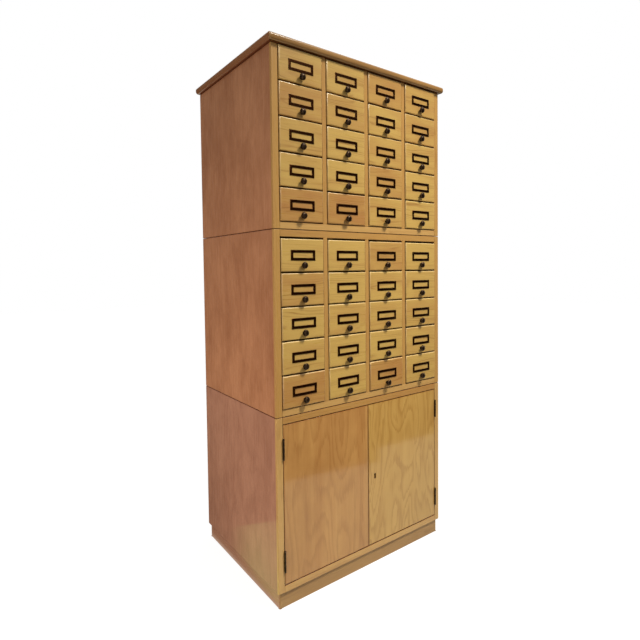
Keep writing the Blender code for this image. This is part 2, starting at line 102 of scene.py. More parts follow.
# How far a drawer may stand back, sideways and up or down from its true place
SLIP_BACK, SLIP_SIDE, SLIP_LEVEL = 0.0009, 0.0003, 0.0004
LABEL_HALF = Vector((0.0430, 0, 0.0155))
LABEL_BORDER = 0.0080
LABEL_THICKNESS = 0.0016
LABEL_SLOPE = 0.0008
LABEL_PIN = 0.0016
KNOB_DROP = 0.0295
KNOB_SIDES = 28
SCREW_SIDES = 16
PIN_SIDES = 12

# Doors, hinges and lock
DOOR_GAP = 0.0015
MEETING_GAP = 0.002
DOOR_THICKNESS = 0.018
DOOR_ARRIS = 0.0015
DOOR_PLAY = 0.0006
AXIS = Vector((INNER_HALF - DOOR_GAP / 2, FRONT - 0.0032, 0))
HINGE_HALF = 0.0315
LEAF = 0.0012
LEAF_WIDTH = 0.018
LEAF_GAP = 0.0002
LEAF_SCREW = 0.0028
BARREL = 0.0028
BARREL_END = 0.0003
BARREL_SIDES = 20
KNUCKLE = 0.021
KNUCKLE_GAP = 0.0003
PIN = 0.0012
BOLT_THROW = 0.007
CASE_SCREW = 0.0026
CASE_SCREW_INSET = 0.006
CASE_STEP = 0.0006
KEY_BACKSET = 0.028
KEY_DROP = 0.0075
KEYHOLE_HALF = 0.0075
KEYHOLE_RADIUS = 0.0027
KEYHOLE_SLOT = 0.0017
KEYHOLE_DEPTH = 0.0085
KEYHOLE_LINING = 0.0016
KEYHOLE_SIDES = 24

# How far a shape that cuts reaches past what it cuts
OVERCUT = 0.005
NEARNESS = 0.00002
BROAD_ANGLE = math.radians(50)
ROUND_ANGLE = math.radians(40)

# Wear, and the painted highlight on the fronts' top rims, keep to a band along the edges, and lie
# thickest on the arris itself
WEAR_AND_HIGHLIGHT_WIDTH = 0.004
WEAR_AND_HIGHLIGHT_REACH = 0.0025
# Brown dust and old wax, and painted shade, in the narrow joints round drawers and doors, under
# the top and along the plinth's foot
JOINT_DUST_AND_SHADE = "#64260A"
DUST_AND_SHADE_COVER = 0.95
# Dust and painted shade on a face: how far they creep over the arris, and how thick they lie
THIN_DUST_AND_SHADE = (0.00005, 0.75)
WIDE_DUST_AND_SHADE = (0.0009, 1.0)

# What the lacquer mirrors: a brown shade, and a yellow-green that pinkish wood turns tan
FLAG_BROWN = "#4A3A2E"
CARD_YELLOW = "#CDE58F"


def linear(code):
    """The linear colour that a display shows as this sRGB hex code."""
    channels = (int(code[place : place + 2], 16) / 255 for place in (1, 3, 5))
    turned = (c / 12.92 if c <= 0.04045 else ((c + 0.055) / 1.055) ** 2.4 for c in channels)
    return (*turned, 1)


def add_node(tree, kind, inputs=None, output=0, stops=(), **settings):
    """Adds a node with its settings, values and links, and returns one of its outputs.

    Stops are places on a colour ramp, each with its grey.
    """
    node = tree.nodes.new("ShaderNode" + kind)
    for name, value in settings.items():
        setattr(node, name, value)
    for name, value in (inputs or {}).items():
        if isinstance(value, bpy.types.NodeSocket):
            tree.links.new(value, node.inputs[name])
        else:
            node.inputs[name].default_value = value
    for number, (place, grey) in enumerate(stops):
        elements = node.color_ramp.elements
        element = elements[number] if number < 2 else elements.new(place)
        element.position = place
        element.color = (grey, grey, grey, 1)
    return node.outputs[output] if node.outputs else None


def calculate(tree, operation, *values, use_clamp=False):
    numbered = dict(enumerate(values))
    return add_node(tree, "Math", numbered, operation=operation, use_clamp=use_clamp)


def calculate_vector(tree, operation, first, second):
    return add_node(tree, "VectorMath", {0: first, 1: second}, operation=operation)


def noise(tree, vector, detail, stretch=None, scale=1, output=0, **more):
    """Noise at a scale, on a vector that is first multiplied by the stretch along each axis."""
    if stretch:
        vector = calculate_vector(tree, "MULTIPLY", vector, stretch)
    values = {"Vector": vector, "Scale": scale, "Detail": detail, **more}
    return add_node(tree, "TexNoise", values, output)


def remap(tree, value, start, end, low=0, high=1, **settings):
    """Spreads what lies between start and end over the span from low to high."""
    span = {"Value": value, "From Min": start, "From Max": end, "To Min": low, "To Max": high}
    return add_node(tree, "MapRange", span, **settings)


def blend(tree, share, under, over):
    """Lays a share of one colour over another, each a socket, a linear colour or a hex code."""
    under, over = (linear(c) if isinstance(c, str) else c for c in (under, over))
    return add_node(tree, "Mix", {0: share, 6: under, 7: over}, output=2, data_type="RGBA")


def read_attribute(tree, name, output="Fac"):
    return add_node(tree, "Attribute", output=output, attribute_name=name)


def new_material(name):
    material = bpy.data.materials.new(name)
    material.use_nodes = True
    material.node_tree.nodes.clear()
    return material, material.node_tree


def end_material(material, colour, rough, height, strength, depth, **more):
    """Gives a material its shader, with a skin that follows a height."""
    tree = material.node_tree
    bump = add_node(tree, "Bump", {"Strength": strength, "Distance": depth, "Height": height})
    inputs = {"Base Color": colour, "Roughness": rough, "Normal": bump, **more}
    shader = add_node(tree, "BsdfPrincipled", inputs)
    add_node(tree, "OutputMaterial", {"Surface": shader})
    return material


def lacquer(material, colour, fibre, gloss, depth=0.00012, ior=1.52):
    """Ends a wood with its clear coat: a smooth skin that follows the pores a little."""
    rough = remap(material.node_tree, fibre, 0.3, 0.7, *gloss)
    return end_material(material, colour, rough, fibre, 0.35, depth, IOR=ior)


def age(tree, colour, vector, scale, share, bared_and_highlight):
    """Bares arrises in patches, or paints a front's top rim as a highlight; lays dust and painted
    shade in the joints.
    """
    wear_and_highlight = noise(tree, vector, 3, scale=scale)
    wear_and_highlight = calculate(tree, "MULTIPLY", wear_and_highlight, read_attribute(tree, "edge"))
    colour = blend(tree, calculate(tree, "MULTIPLY", wear_and_highlight, share), colour, bared_and_highlight)
    dust = calculate(tree, "MULTIPLY", read_attribute(tree, "dust"), DUST_AND_SHADE_COVER)
    return blend(tree, dust, colour, JOINT_DUST_AND_SHADE)


def sawn_beech(name, pale, mid, warm, line, streak=0.45, gloss=(0.22, 0.36), rubbed_and_highlight=None):
    """Solid beech, planed: year rings cut by the saw, fine fibres and short ray flecks."""
    material, tree = new_material(name)
    grain = read_attribute(tree, "grain", "Vector")
    # The tree's axis wanders by about 10 mm over 400 mm
    slow = calculate_vector(tree, "MULTIPLY", grain, (2.4, 16, 16))
    sway = noise(tree, slow, 2, output=1)
    sway = calculate_vector(tree, "SUBTRACT", sway, (0.5, 0.5, 0.5))
    sway = calculate_vector(tree, "MULTIPLY", sway, (0, 0.030, 0.040))
    bent = calculate_vector(tree, "ADD", grain, sway)
    # Year rings 2.5 mm wide in the log, drawn at 4 mm so that they show at this distance
    flat = calculate_vector(tree, "MULTIPLY", bent, (0, 1, 1))
    radius = add_node(tree, "VectorMath", {0: flat}, "Value", operation="LENGTH")
    ring = calculate(tree, "FRACT", calculate(tree, "MULTIPLY", radius, 1 / 0.004))
    stops = ((0.0, 0.1), (1.0, 0.2), (0.55, 0.12), (0.90, 1))
    late = add_node(tree, "ValToRGB", {"Fac": ring}, stops=stops)
    # Years differ: some lines are strong, most are faint
    years = noise(tree, bent, 1, (3, 60, 60))
    late = calculate(tree, "MULTIPLY", late, remap(tree, years, 0.45, 0.72))
    # Fibre bundles of 0.3 mm, drawn at 2.5 mm across and 100 mm long
    fibre = noise(tree, bent, 4, (10, 400, 400), Roughness=0.6)
    # Ray flecks, 4 mm long and 0.7 mm wide, as dark dashes
    fleck = remap(tree, noise(tree, bent, 1, (260, 1500, 1500)), 0.62, 0.75)
    # Broad clouds where the lacquer and the wood have yellowed unevenly
    cloud = remap(tree, noise(tree, grain, 3, (7, 26, 26)), 0.32, 0.68, 0, 0.5)
    cloud = calculate(tree, "SUBTRACT", cloud, read_attribute(tree, "tone"), use_clamp=True)
    colour = blend(tree, fibre, pale, mid)
    colour = blend(tree, cloud, colour, warm)
    colour = blend(tree, calculate(tree, "MULTIPLY", late, streak), colour, line)
    colour = blend(tree, calculate(tree, "MULTIPLY", fleck, 0.35), colour, line)
    # Handled arrises have lost some of their yellow and taken some dirt; on the fronts a pale
    # colour is given instead, a painted highlight along their top rims
    colour = age(tree, colour, slow, 6, 0.65 if rubbed_and_highlight else 0.45, rubbed_and_highlight or warm)
    return lacquer(material, colour, fibre, gloss)


def peeled_birch(
    name, pale, mid, line, lines, figure, gloss,
    hills=(1.5, 8), curl=0.0, uneven=0.0, ior=1.52, streak=0.45
):
    """Rotary-cut birch veneer: wide flames where the knife follows the rings, fine pores."""
    material, tree = new_material(name)
    grain = read_attribute(tree, "grain", "Vector")
    # The knife cuts rings that rise and fall: contours some 700 mm long and 130 mm wide
    hill = noise(tree, grain, 1.5, (*hills, 1), Roughness=0.4, Distortion=curl)
    jag = calculate(tree, "MULTIPLY", noise(tree, grain, 2, (14, 260, 1)), 0.9)
    rings = calculate(tree, "FRACT", calculate(tree, "MULTIPLY_ADD", hill, lines, jag))
    stops = ((0.0, 0), (1.0, 0), (0.45, 0.15), (0.86, 1))
    late = add_node(tree, "ValToRGB", {"Fac": rings}, stops=stops)
    # Pores and fibres, 0.2 mm wide, drawn at 2 mm
    fibre = noise(tree, grain, 4, (7, 480, 1), Roughness=0.62)
    # Sheets of veneer differ along bands some 30 mm wide
    bands = calculate_vector(tree, "MULTIPLY", grain, (0.8, 30, 1))
    band = remap(tree, noise(tree, bands, 3), 0.3, 0.7, 0.1, 0.7)
    mixed = calculate(tree, "MULTIPLY_ADD", fibre, streak, band)
    mixed = calculate(tree, "SUBTRACT", mixed, streak / 2, use_clamp=True)
    colour = blend(tree, mixed, pale, mid)
    colour = blend(tree, calculate(tree, "MULTIPLY", late, figure), colour, line)
    # Old lacquer, darker in soft clouds some 200 mm wide
    cloud = noise(tree, grain, 5, (3, 6, 1), Roughness=0.72)
    colour = blend(tree, remap(tree, cloud, 0.35, 0.65, 0, uneven), colour, line)
    colour = age(tree, colour, bands, 5, 0.5, line)
    return lacquer(material, colour, fibre, gloss, 0.00008, ior)


def blackened_brass(name, deep, rubbed_and_highlight, metal):
    """Brass darkened in a bath: nearly black, with brown where hands have rubbed it."""
    material, tree = new_material(name)
    place = add_node(tree, "TexCoord", output="Object")
    # Blotches of the bath, some 6 mm wide
    patch = noise(tree, place, 4, scale=170)
    colour = blend(tree, remap(tree, patch, 0.45, 0.7, 0, 0.7), deep, rubbed_and_highlight)
    rough = remap(tree, patch, 0, 1, 0.42, 0.24)
    # A cast skin, with pits of 0.5 mm
    pits = noise(tree, place, 2, scale=1900)
    return end_material(material, colour, rough, pits, 0.2, 0.0001, Metallic=metal)


def rolled_steel(name, base, stain):
    """Rolled steel sheet with fine draw lines and a little brown staining."""
    material, tree = new_material(name)
    place = add_node(tree, "TexCoord", output="Object")
    drawn = noise(tree, place, 3, (900, 60, 900))
    spots = noise(tree, place, 4, scale=120)
    colour = blend(tree, remap(tree, spots, 0.5, 0.72, 0, 0.6), base, stain)
    rough = remap(tree, drawn, 0, 1, 0.28, 0.5)
    return end_material(material, colour, rough, drawn, 0.2, 0.00005, Metallic=1.0)


# Planed beech under yellowed lacquer: bright honey fronts with soft brown clouds, and a painted
# highlight in pale cream along their top rims
FRONT_BEECH = sawn_beech(
    "lacquered beech front", "#D0B064", "#C39E55", "#B5834A", "#8F5C2E",
    streak=0.7, gloss=(0.24, 0.38), rubbed_and_highlight="#F6E4B4"
)
# The same beech on edges and rails, a little redder
EDGE_BEECH = sawn_beech("lacquered beech edge", "#CBA25C", "#BC9150", "#AE7C46", "#8E5E30")
# The cupboard's stiles and foot rail, paler
FOOT_BEECH = sawn_beech("pale lacquered beech edge", "#D6B06C", "#C69D5E", "#B48450", "#946538")
# The plinth's long rails, dulled by mops and shoes
PLINTH_BEECH = sawn_beech(
    "scuffed beech", "#B8935F", "#A98453", "#9A7448", "#785832", streak=0.6, gloss=(0.4, 0.55)
)
# Its short rails, gone pinkish brown like the sides
PLINTH_END_BEECH = sawn_beech(
    "lacquered beech plinth end", "#BC8C70", "#B28267", "#A5755B", "#845A44"
)
# The top's front lipping, in a browner, darker beech
TOP_BEECH = sawn_beech(
    "browned beech", "#AD8652", "#9C7545", "#8E673A", "#6E4B29", streak=0.5, gloss=(0.16, 0.28)
)
# The top's end lippings, in a browner, darker beech
END_BEECH = sawn_beech("lacquered beech end", "#A8764E", "#9A6843", "#8A5A3A", "#70482B")
# Lacquered birch ply whose face has gone pinkish brown
SIDE_BIRCH = peeled_birch(
    "lacquered birch ply side", "#C9926B", "#BE8661", "#9F6A49", 10, 0.22, (0.2, 0.3),
    uneven=0.8, ior=1.4, streak=0.26
)
# The cupboard's sides come from a pinker sheet with a broad, soft figure
BASE_BIRCH = peeled_birch(
    "lacquered birch ply cupboard side", "#C29276", "#B6846B", "#986A54", 8, 0.3, (0.2, 0.3),
    hills=(2.2, 7), curl=0.5, uneven=0.7, ior=1.4, streak=0.26
)
# Door veneers from two sheets: one orange with fine streaks, one yellow with a curly figure
LEFT_BIRCH = peeled_birch(
    "lacquered birch ply left door", "#CE9F5F", "#B47F48", "#8C572C", 16, 0.3, (0.06, 0.12),
    uneven=0.3
)
RIGHT_BIRCH = peeled_birch(
    "lacquered birch ply right door", "#D0A961", "#BF9450", "#99692E", 10, 0.46, (0.06, 0.12),
    hills=(2.6, 8), curl=1.1, uneven=0.15, streak=0.6
)
# Bare beech inside, dull and paler
INNER_BEECH = sawn_beech(
    "bare beech", "#D6B584", "#C8A470", "#BA905C", "#A07848", streak=0.3, gloss=(0.5, 0.62)
)
# Bare birch ply of the backs and drawer floors, dull
BACK_BIRCH = peeled_birch(
    "bare birch ply", "#CDAE83", "#BE9A6C", "#A17C50", 14, 0.4, (0.55, 0.7)
)
# Knobs and hinges, rubbed brown in places
DARK_BRASS = blackened_brass("blackened brass", "#291B10", "#5A432A", 0.75)
# The label frames have kept more of their black
BLACK_BRASS = blackened_brass("blackened brass label frame", "#3E2210", "#5C3820", 1.0)
# The lock and the pins of the backs, dull and a little stained
STEEL = rolled_steel("rolled steel", "#8B857B", "#5A4A3A")


def activate(*pieces):
    """Selects these pieces alone, with the first as the active one."""
    bpy.ops.object.select_all(action="DESELECT")
    for piece in pieces:
        piece.select_set(True)
    bpy.context.view_layer.objects.active = pieces[0]


def start(name, first, second):
    """Adds a squared blank between two opposite corners and opens it in edit mode."""
    bpy.ops.object.select_all(action="DESELECT")
    low, high = Vector(map(min, first, second)), Vector(map(max, first, second))
    bpy.ops.mesh.primitive_cube_add(size=1, location=(low + high) / 2, scale=high - low)
    piece = bpy.context.active_object
    piece.name = piece.data.name = name
    bpy.ops.object.transform_apply(location=True, rotation=True, scale=True)
    bpy.ops.object.mode_set(mode="EDIT")
    bpy.ops.mesh.select_all(action="DESELECT")
    return piece


def block(name, first, second):
    """A squared blank that stays as it is."""
    piece = start(name, first, second)
    bpy.ops.object.mode_set(mode="OBJECT")
    return piece


def pick(piece, kind, test):
    """Selects what passes a test: a face by its middle and direction, an edge by its ends."""
    bpy.ops.mesh.select_mode(type=kind)
    bpy.ops.mesh.select_all(action="DESELECT")
    shape = bmesh.from_edit_mesh(piece.data)
    if kind == "FACE":
        for face in shape.faces:
            face.select_set(test(face.calc_center_median(), face.normal))
    else:
        for edge in shape.edges:
            edge.select_set(test(edge.verts[0].co, edge.verts[1].co))
    shape.select_flush_mode()
    bmesh.update_edit_mesh(piece.data)


def near(first, second):
    return abs(first - second) < NEARNESS


def in_plane(axis, at):
    """A test for edges that lie in a plane across an axis."""
    return lambda first, second: near(first[axis], at) and near(second[axis], at)


def upright(first, second):
    """A test for edges that stand upright."""
    return near(first.x, second.x) and near(first.y, second.y)


def bevel(piece, test, width, segments=2):
    pick(piece, "EDGE", test)
    bpy.ops.mesh.bevel(offset=width, segments=segments, profile=0.5, affect="EDGES")


def inset(piece, test, width):
    pick(piece, "FACE", test)
    bpy.ops.mesh.inset(thickness=width, use_individual=True)


def soften(piece, width=ARRIS, square=()):
    """Takes off the arrises of the open piece, except those in the glued planes of square."""
    glued = [in_plane(axis, at) for axis, at in square]
    bevel(piece, lambda first, second: not any(test(first, second) for test in glued), width)


def band_faces(piece, axis):
    """Runs a band round each broad face across an axis, so that wear and painted highlight stay at
    its edges.
    """
    pick(piece, "FACE", lambda middle, normal: abs(normal[axis]) > 0.999)
    shape = bmesh.from_edit_mesh(piece.data)
    for face in shape.faces:
        points = [v.co for v in face.verts]
        spans = sorted(max(p[i] for p in points) - min(p[i] for p in points) for i in range(3))
        if face.select and spans[1] < 3 * WEAR_AND_HIGHLIGHT_WIDTH:
            face.select_set(False)
    bmesh.update_edit_mesh(piece.data)
    bpy.ops.mesh.inset(thickness=WEAR_AND_HIGHLIGHT_WIDTH, use_individual=True)


def finish_mesh(piece):
    """Leaves edit mode and lets the broad faces shade flat between soft arrises."""
    if bpy.context.mode != "OBJECT":
        bpy.ops.object.mode_set(mode="OBJECT")
    activate(piece)
    bpy.ops.object.shade_smooth_by_angle(angle=BROAD_ANGLE)
    even = piece.modifiers.new("Even shading", "WEIGHTED_NORMAL")
    even.keep_sharp = True
    bpy.ops.object.modifier_apply(modifier=even.name)
    return piece


def extrude(step):
    bpy.ops.mesh.extrude_region_move(TRANSFORM_OT_translate={"value": step})


def turn_outward():
    bpy.ops.mesh.select_all(action="SELECT")
    bpy.ops.mesh.normals_make_consistent(inside=False)


def planed(name, first, second, arris=ARRIS, square=()):
    """A planed board between two opposite corners, with its arrises taken off."""
    piece = start(name, first, second)
    soften(piece, arris, square)
    return finish_mesh(piece)


def join(name, pieces):
    """Joins pieces that are glued, in one object."""
    activate(*pieces)
    bpy.ops.object.join()
    pieces[0].name = pieces[0].data.name = name
    return pieces[0]


def copy_of(master, name, shift):
    """A copy of a finished piece with its own mesh, moved within it."""
    piece = bpy.data.objects.new(name, master.data.copy())
    piece.data.name = name
    piece.data.transform(Matrix.Translation(shift))
    bpy.context.scene.collection.objects.link(piece)
    return piece


def put_away(piece):
    bpy.data.objects.remove(piece, do_unlink=True)


def sliced(master, name, planes):
    """What is left of a copy on the inner side of each plane, with the cuts closed."""
    piece = copy_of(master, name, (0, 0, 0))
    activate(piece)
    bpy.ops.object.mode_set(mode="EDIT")
    for point, normal in planes:
        bpy.ops.mesh.select_all(action="SELECT")
        bpy.ops.mesh.bisect(plane_co=point, plane_no=normal, use_fill=True, clear_outer=True)
    return finish_mesh(piece)


def carve(piece, other, operation="DIFFERENCE"):
    """Cuts a closed shape out of a piece, or adds it, and puts it away."""
    activate(piece)
    change = piece.modifiers.new("Carve", "BOOLEAN")
    change.operation = operation
    change.solver = "EXACT"
    change.object = other
    bpy.ops.object.modifier_apply(modifier=change.name)
    put_away(other)


def turned(name, middle, outward, stations, sides):
    """A turned piece: a round blank drawn out station by station, each a distance and a radius."""
    bpy.ops.object.select_all(action="DESELECT")
    outward = Vector(outward)
    before, *rest = stations
    foot, turn = Vector(middle) + outward * before[0], outward.to_track_quat("Z", "Y").to_euler()
    bpy.ops.mesh.primitive_circle_add(
        vertices=sides, radius=before[1], fill_type="NGON", location=foot, rotation=turn
    )
    piece = bpy.context.active_object
    piece.name = piece.data.name = name
    bpy.ops.object.transform_apply(location=True, rotation=True, scale=True)
    bpy.ops.object.mode_set(mode="EDIT")
    bpy.ops.mesh.select_mode(type="FACE")
    bpy.ops.mesh.select_all(action="SELECT")
    for distance, radius in rest:
        extrude(outward * (distance - before[0]))
        grow = [1 if abs(value) > 0.5 else radius / before[1] for value in outward]
        place = Vector(middle) + outward * distance
        bpy.ops.transform.resize(value=grow, center_override=place)
        before = (distance, radius)
    turn_outward()
    bpy.ops.object.mode_set(mode="OBJECT")
    bpy.ops.object.shade_smooth_by_angle(angle=ROUND_ANGLE)
    return piece


def lay_grain(piece, along, through, tone=0.0, at=None, dust_and_shade_sides=(), worn_top=False):
    """Gives a board its own place in the log, with its fibres along one axis.

    Each point carries its distance along the fibres, across them and into the log, in
    metres, with a slight slope, then how yellow the board is, where its arrises are (on a
    front only the top rim, which takes a painted highlight), and how thick the dust and
    painted shade lie. A side for them is an axis, -1 or 1, and their reach and share.
    """
    draw = random.Random(piece.name)
    mesh = piece.data
    points = np.empty(len(mesh.vertices) * 3)
    mesh.vertices.foreach_get("co", points)
    points = points.reshape(-1, 3)
    low, high = points.min(axis=0), points.max(axis=0)
    local = (points - (low + high) / 2)[:, (along, 3 - along - through, through)]
    slope = math.radians(draw.uniform(-1.5, 1.5))
    place = (draw.uniform(-40, 40), draw.uniform(-0.05, 0.05), draw.uniform(0.035, 0.11))
    if at is not None:
        slope, place = 0.0, at
    sine, cosine = math.sin(slope), math.cos(slope)
    turn = np.array(((cosine, sine, 0), (-sine, cosine, 0), (0, 0, 1)))
    laid = local @ turn + np.array(place)
    rims = (np.abs(points - low) < WEAR_AND_HIGHLIGHT_REACH) | (np.abs(points - high) < WEAR_AND_HIGHLIGHT_REACH)
    edges = rims.sum(axis=1) > 1
    # On a front only the top rim keeps its arris mark: there it is a painted highlight
    if worn_top:
        edges &= high[2] - points[:, 2] < WEAR_AND_HIGHLIGHT_REACH
    dust = np.zeros(len(points))
    for axis, way, (reach, share) in dust_and_shade_sides:
        depth = np.abs(points[:, axis] - (high if way > 0 else low)[axis])
        dust = np.maximum(dust, share * (1 - depth / reach))
    layer = mesh.attributes.new("grain", "FLOAT_VECTOR", "POINT")
    layer.data.foreach_set("vector", laid.ravel())
    values = {"tone": np.full(len(points), tone), "edge": edges.astype(float), "dust": dust}
    for name, data in values.items():
        mesh.attributes.new(name, "FLOAT", "POINT").data.foreach_set("value", data)


def fit(piece, slot, material, body="cabinet", nodes=()):
    """Gives a piece its finish and the body it moves with."""
    piece.data.materials.clear()
    piece.data.materials.append(material)
    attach(piece, body)
    if nodes:
        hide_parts(*nodes)


def wooden(piece, slot, material, along, through, tone=0.0, at=None, dust_and_shade_sides=(), **placing):
    lay_grain(piece, along, through, tone, at, dust_and_shade_sides)
    fit(piece, slot, material, **placing)


def slotted_screw(place, outward, radius, turn):
    """A countersunk screw's head with its slot, seen from outside."""
    stations = (
        (-0.0012, radius * 0.6), (0, radius), (0.0001, radius * 0.97), (0.0002, radius * 0.8)
    )
    screw = turned("screw", place, outward, stations, SCREW_SIDES)
    outward = Vector(outward)
    side = outward.orthogonal().normalized()
    side.rotate(Matrix.Rotation(turn, 3, outward))
    directions = Matrix((side, outward.cross(side), outward)).transposed().to_4x4()
    size = Matrix.Diagonal((radius * 2.4, radius * 0.28, radius * 0.5, 1))
    bpy.ops.object.select_all(action="DESELECT")
    bpy.ops.mesh.primitive_cube_add(size=1)
    cutter = bpy.context.active_object
    cutter.data.transform(Matrix.Translation(place) @ directions @ size)
    carve(screw, cutter)
    return screw


def unit_span(unit):
    """The heights between which a unit's side panels stand."""
    low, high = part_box("base_carcass" if unit == "base" else unit + "_side_left")
    return low.z, high.z


def row_foot(row):
    """The height of a row's fronts over the unit's foot, with row 1 at the top."""
    return PANEL + ROW_GAP / 2 + (ROWS - row) * ROW_PITCH


def bay_middle(column):
    return (column - (COLUMNS + 1) / 2) * COLUMN_PITCH


def make_side(unit, side, hand, nodes):
    """A unit's side: a ply panel, rebated for the back, behind a solid front lipping."""
    foot, head = unit_span(unit)
    foot, head = foot + UNIT_PLAY, head - UNIT_PLAY
    inner, outer = hand * INNER_HALF, hand * HALF_WIDTH
    seam = FRONT + LIPPING
    panel = start(f"{unit}_{side}_panel", (inner, seam, foot), (outer, BACK_FACE, head))
    rebate = hand * (INNER_HALF + BACK_REBATE)
    bpy.ops.mesh.select_all(action="SELECT")
    bpy.ops.mesh.bisect(plane_co=(rebate, 0, 0), plane_no=(1, 0, 0))
    pick(panel, "FACE", lambda middle, normal: normal.y > 0.5 and abs(middle.x) > abs(rebate))
    extrude((0, REAR - BACK_FACE, 0))
    bpy.ops.mesh.select_all(action="SELECT")
    bpy.ops.mesh.dissolve_limited(angle_limit=math.radians(1))
    soften(panel, UNIT_ARRIS, ((1, seam), (0, rebate)))
    band_faces(panel, 0)
    finish_mesh(panel)
    # Dust and painted shade at the top and bottom, in the joints between units; the stile's inner
    # face also takes them, in the gap by the drawers
    ends = ((2, -1, WIDE_DUST_AND_SHADE), (2, 1, WIDE_DUST_AND_SHADE))
    ply = BASE_BIRCH if unit == "base" else SIDE_BIRCH
    wooden(panel, "side_ply", ply, 2, 0, dust_and_shade_sides=ends, nodes=nodes)
    corners = (inner, FRONT, foot), (outer, seam, head)
    stile = planed(f"{unit}_{side}_stile", *corners, UNIT_ARRIS, ((1, seam),))
    beech, tone = (FOOT_BEECH, 0.5) if unit == "base" else (EDGE_BEECH, 0.3)
    wooden(stile, "beech_edge", beech, 2, 1, tone, dust_and_shade_sides=(*ends, (0, -hand, THIN_DUST_AND_SHADE)))


def make_runners(name, faces, foot):
    """The hardwood strips of one upright, screwed on at the height of each row."""
    strips = []
    for hand, face in faces:
        first = (face - hand * ARRIS, FRONT + FRONT_BACK + FIT, RUNNER_Z + foot)
        second = (face + hand * RUNNER_PROUD, BACK_FACE - FIT, first[2] + RUNNER_HEIGHT)
        master = planed("strip", first, second)
        rows = range(1, ROWS + 1)
        strips += [copy_of(master, "strip", (0, 0, row_foot(row))) for row in rows]
        put_away(master)
    wooden(join(name, strips), "beech_inside", INNER_BEECH, 1, 0)


def make_lipped_board(name, low, high, ways, beech, tone, dust_and_shade_sides, arris=ARRIS, nodes=()):
    """A board behind a solid lipping. Each has its way of the grain: along and through."""
    seam = low[1] + LIPPING
    glued = ((1, seam),)
    lipping = planed(name + "_lipping", low, (high[0], seam, high[2]), arris, glued)
    wooden(lipping, "beech_edge", beech, *ways[0], tone, dust_and_shade_sides=dust_and_shade_sides, nodes=nodes)
    board = planed(name, (low[0], seam, low[2]), high, square=glued)
    wooden(board, "beech_inside", INNER_BEECH, *ways[1])


def make_level_board(
    name, low_z, high_z, front=FRONT, nodes=(), tone=0.2, beech=EDGE_BEECH, below=WIDE_DUST_AND_SHADE
):
    """A board between the sides."""
    half = INNER_HALF - FIT
    low, high = (-half, front, low_z), (half, BACK_FACE - FIT, high_z)
    # Dust and painted shade on its lower and upper faces, in the joints and gaps
    dust_and_shade_sides = ((2, -1, below), (2, 1, WIDE_DUST_AND_SHADE))
    ways = ((0, 1), (0, 2))
    make_lipped_board(name, low, high, ways, beech, tone, dust_and_shade_sides, RAIL_ARRIS, nodes)


def make_divider(unit, number, foot, low_z, high_z):
    """An upright between two columns of drawers, with its strips."""
    left = bay_middle(number) + BAY_WIDTH / 2
    right = left + DIVIDER
    name = f"{unit}_divider_{number}"
    low, high = (left, FRONT, low_z), (right, BACK_FACE - FIT, high_z)
    # Dust and painted shade on both faces, in the gaps beside the drawers
    dust_and_shade_sides = ((0, -1, THIN_DUST_AND_SHADE), (0, 1, THIN_DUST_AND_SHADE))
    make_lipped_board(name, low, high, ((2, 1), (1, 0)), EDGE_BEECH, 0.15, dust_and_shade_sides)
    make_runners(name + "_runners", ((-1, left), (1, right)), foot)


def make_back(unit):
    """A thin ply back in its rebates, pinned round its edge."""
    low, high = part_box(unit + "_back")
    back = start(unit + "_back_panel", low, high)
    soften(back, THIN_ARRIS)
    band_faces(back, 1)
    wooden(finish_mesh(back), "back_ply", BACK_BIRCH, 2, 1, nodes=(unit + "_back",))
    left, foot = low.x + PIN_INSET, low.z + PIN_INSET
    right, head = high.x - PIN_INSET, high.z - PIN_INSET
    across = [left + (right - left) * step / 6 for step in range(7)]
    upward = [foot + (head - foot) * step / 5 for step in range(1, 5)]
    places = [*product(across, (foot, head)), *product((left, right), upward)]
    stations = ((-0.0008, 0.0009), (-0.0002, 0.0017), (0, 0.0014))
    master = turned("pin_head", (0, high.y, 0), (0, 1, 0), stations, PIN_SIDES)
    pins = [copy_of(master, "pin", (x, 0, z)) for x, z in places]
    put_away(master)
    fit(join(unit + "_back_pins", pins), "lock_steel", STEEL)


def make_bank(unit, has_top):
    foot, head = unit_span(unit)
    foot -= FIT
    for side, hand in (("left", -1), ("right", 1)):
        make_side(unit, side, hand, (f"{unit}_side_{side}",))
        make_runners(f"{unit}_{side}_runners", ((-hand, hand * INNER_HALF),), foot)
    low = foot + FIT + RAIL_PLAY
    nodes = (unit + "_rack",)
    name = unit + "_bottom"
    make_level_board(name, low, foot + PANEL, nodes=nodes, tone=0.3, beech=FOOT_BEECH)
    if has_top:
        make_level_board(unit + "_top", head - PANEL, head - RAIL_PLAY, below=THIN_DUST_AND_SHADE)
        head -= PANEL
    for number in range(1, COLUMNS):
        make_divider(unit, number, foot, foot + PANEL, head)
    make_back(unit)


def make_base():
    foot, head = unit_span("base")
    for side, hand in (("left", -1), ("right", 1)):
        make_side("base", side, hand, ("base_carcass",) if hand < 0 else ())
    floor, ceiling = foot - FIT + PANEL, head - PANEL
    make_level_board("base_bottom", foot, floor, beech=FOOT_BEECH)
    make_level_board("base_top", ceiling, head - RAIL_PLAY, tone=-0.1)
    shelf = floor + (ceiling - floor) * SHELF_SHARE
    front = FRONT + DOOR_THICKNESS + SHELF_SETBACK
    make_level_board("base_shelf", shelf, shelf + SHELF, front)
    make_back("base")


